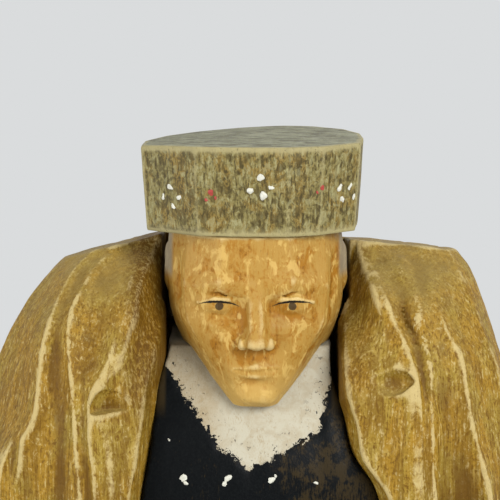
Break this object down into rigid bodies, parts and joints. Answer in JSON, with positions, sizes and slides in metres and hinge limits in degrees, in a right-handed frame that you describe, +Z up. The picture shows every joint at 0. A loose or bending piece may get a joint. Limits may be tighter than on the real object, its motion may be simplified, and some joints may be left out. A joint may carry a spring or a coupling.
{
  "type": "carved wooden figurine",
  "caption": "Standing figure in a flat-topped cap with an open coat over the shoulders, carved in wood with flat knife cuts, on an oblong plinth.",
  "frame": {"origin": "centre of the plinth's underside", "axes": "+Z up through the figure, which faces -Y; +X is to the right of someone who looks at its front"},
  "size_m": [0.086, 0.062, 0.1871],
  "materials": {
    "plinth_wood": "stained and waxed wood, worn at its edges",
    "screw_steel": "dull zinc-plated steel",
    "boot_paint": "worn black-brown paint on wood",
    "dowel_wood": "bare beech",
    "trouser_paint": "thin dark brown wash on wood",
    "waistcoat_paint": "black paint worn to the wood, over a white shirt front",
    "coat_stain": "translucent ochre stain, knife-cut, pale along the ridges",
    "sleeve_paint": "thin off-white paint on wood",
    "skin_wood": "pale wood with an amber wash",
    "cap_wash": "grey-green wash on wood, with small painted dots"
  },
  "bodies": {
    "root": {"plinth": "plinth_wood", "plinth_screws": "screw_steel", "boot_right": "boot_paint", "boot_left": "boot_paint", "boot_dowels": "dowel_wood", "trousers": "trouser_paint", "waist_dowel": "dowel_wood", "torso": "waistcoat_paint", "coat_back": "coat_stain", "coat_right": "coat_stain", "coat_left": "coat_stain", "coat_dowels": "dowel_wood", "forearm_right": "sleeve_paint", "forearm_left": "sleeve_paint", "forearm_dowels": "dowel_wood", "hand_right": "skin_wood", "hand_left": "skin_wood", "wrist_dowels": "dowel_wood", "neck_dowel": "dowel_wood", "head": "skin_wood", "hat_dowel": "dowel_wood", "hat": "cap_wash"}
  },
  "joints": []
}
